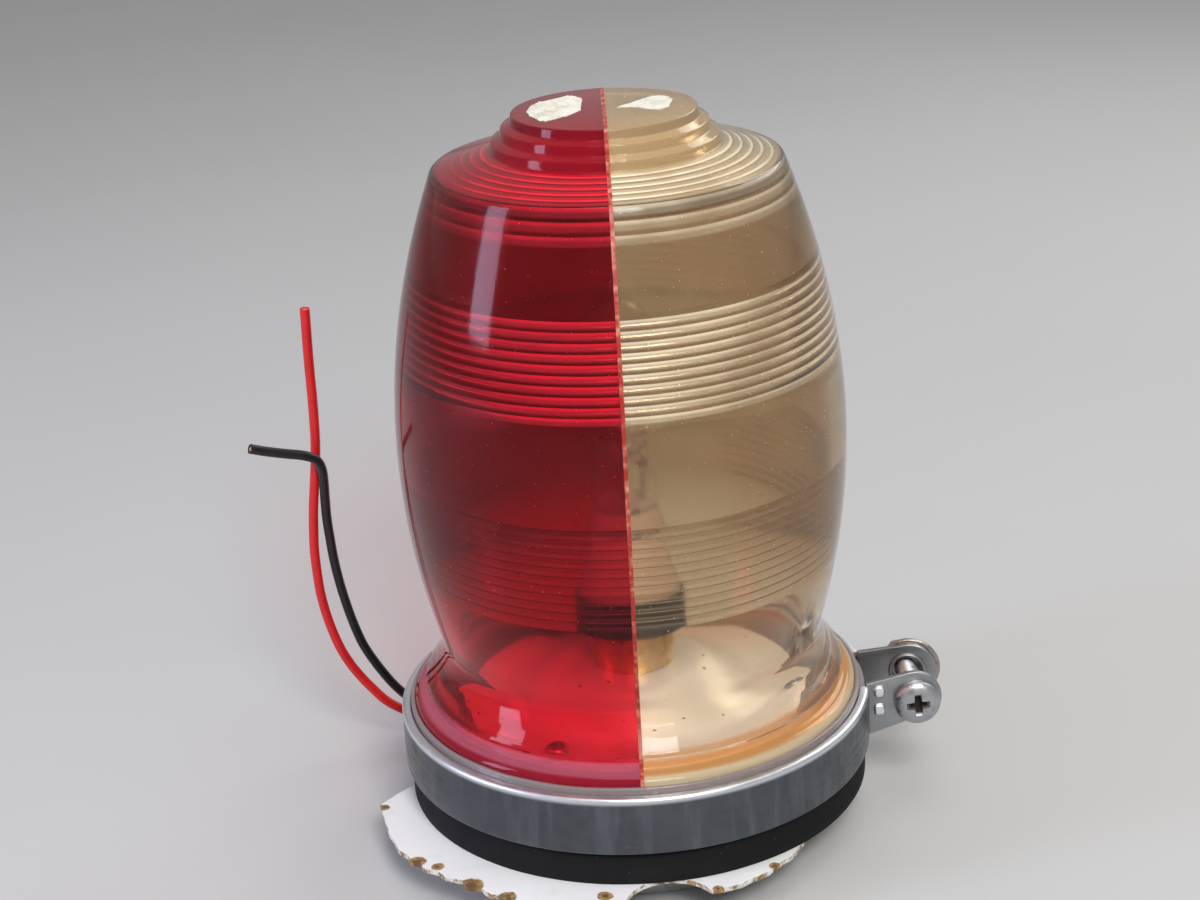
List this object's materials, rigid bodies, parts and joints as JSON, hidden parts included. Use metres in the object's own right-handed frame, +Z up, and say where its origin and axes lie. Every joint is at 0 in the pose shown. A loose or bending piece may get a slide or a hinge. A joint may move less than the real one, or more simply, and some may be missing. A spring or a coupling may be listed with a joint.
{
  "type": "aircraft strobe light",
  "caption": "Upright strobe light: split red and clear ribbed lens over a flash tube, held to a round base by a screw clamp, with leads and a broken piece of skin below.",
  "frame": {"origin": "on the lens axis, at the lower end of the base's spigot, which is the level that the light stands on", "axes": "+Z up along the lens axis; the lens seam lies in the plane X = 0 with the red half on -X; the clamp screw lies on +X, with its axis along Y and its head towards -Y"},
  "size_m": [0.1515, 0.1106, 0.16],
  "materials": {
    "lens_red": "clear moulded acrylic, crimson, polished",
    "lens_clear": "clear moulded acrylic, aged amber",
    "seam": "aged orange cement",
    "seal": "translucent grey rubber, glossy from age",
    "clamp": "satin stainless sheet, lightly marked",
    "hardware": "bright machine-screw steel",
    "housing": "cast, as machined",
    "gasket": "matt black",
    "skin": "white paint, chipped to ochre primer at the broken edge",
    "reflector": "satin spun sheet",
    "shell": "gold-coloured plate",
    "collar": "black moulded plastic",
    "insert": "brown laminate",
    "contact": "bright",
    "tube_base": "pinkish unglazed",
    "glass": "clear drawn glass",
    "helix_glass": "clear drawn glass",
    "electrode": "dull wire",
    "board": "green laminate",
    "capacitor": "dark blue sleeve",
    "core": "dark ferrite",
    "winding": "enamelled copper",
    "semiconductor": "black moulded",
    "resistor": "tan body",
    "film_capacitor": "brown dipped",
    "terminal": "blue moulded",
    "wire": "sleeved wire",
    "red_wire": "red insulation",
    "black_wire": "black insulation"
  },
  "bodies": {
    "base": {"clamp_band": "clamp", "clamp_front_lug": "clamp", "clamp_rear_lug": "clamp", "lug_welds": "clamp", "clamp_washer": "hardware", "base_housing": "housing", "base_gasket": "gasket", "skin_plate": "skin", "mounting_screws": "hardware", "anchor_nuts": "hardware", "bottom_cover": "housing", "cover_gasket": "gasket", "cover_screws": "hardware", "reflector": "reflector", "reflector_screws": "hardware", "socket_shell": "shell", "socket_collar": "collar", "socket_insert": "insert", "socket_contacts": "contact", "socket_wires": "wire", "circuit_board": "board", "board_screws": "hardware", "storage_capacitor": "capacitor", "inverter_core": "core", "inverter_winding": "winding", "trigger_coil": "capacitor", "power_transistor": "semiconductor", "diodes": "semiconductor", "resistors": "resistor", "timing_capacitors": "film_capacitor", "lead_terminals": "terminal", "inner_leads": "red_wire", "lead_grommet": "gasket", "red_lead": "red_wire", "black_lead": "black_wire"},
    "clamp_screw": {"clamp_screw": "hardware"},
    "clamp_nut": {"clamp_nut": "hardware"},
    "lens": {"lens_red_half": "lens_red", "lens_clear_half": "lens_clear", "lens_seam_cement": "seam", "lens_edge_seal": "seal"},
    "flash_tube": {"tube_base": "tube_base", "tube_pins": "contact", "tube_envelope": "glass", "flash_helix": "helix_glass", "tube_electrodes": "electrode"}
  },
  "joints": [
    {"name": "clamp_screw_turn", "type": "hinge", "parent": "base", "child": "clamp_screw", "pos_m": [0.0619, -0.0082, 0.02547], "axis": [0, -1, 0], "range_deg": [0, 2160]},
    {"name": "nut_back_off", "type": "slide", "parent": "base", "child": "clamp_nut", "axis": [0, 1, 0], "range_m": [0, 0.00476]},
    {"name": "lens_lift", "type": "slide", "parent": "base", "child": "lens", "axis": [0, 0, 1], "range_m": [0, 0.15]},
    {"name": "tube_unplug", "type": "slide", "parent": "base", "child": "flash_tube", "axis": [0, 0, 1], "range_m": [0, 0.03]}
  ],
  "couplings": [
    {"joint": "clamp_screw_turn", "follows": "nut_back_off", "rad_per_m": 7915.8}
  ]
}
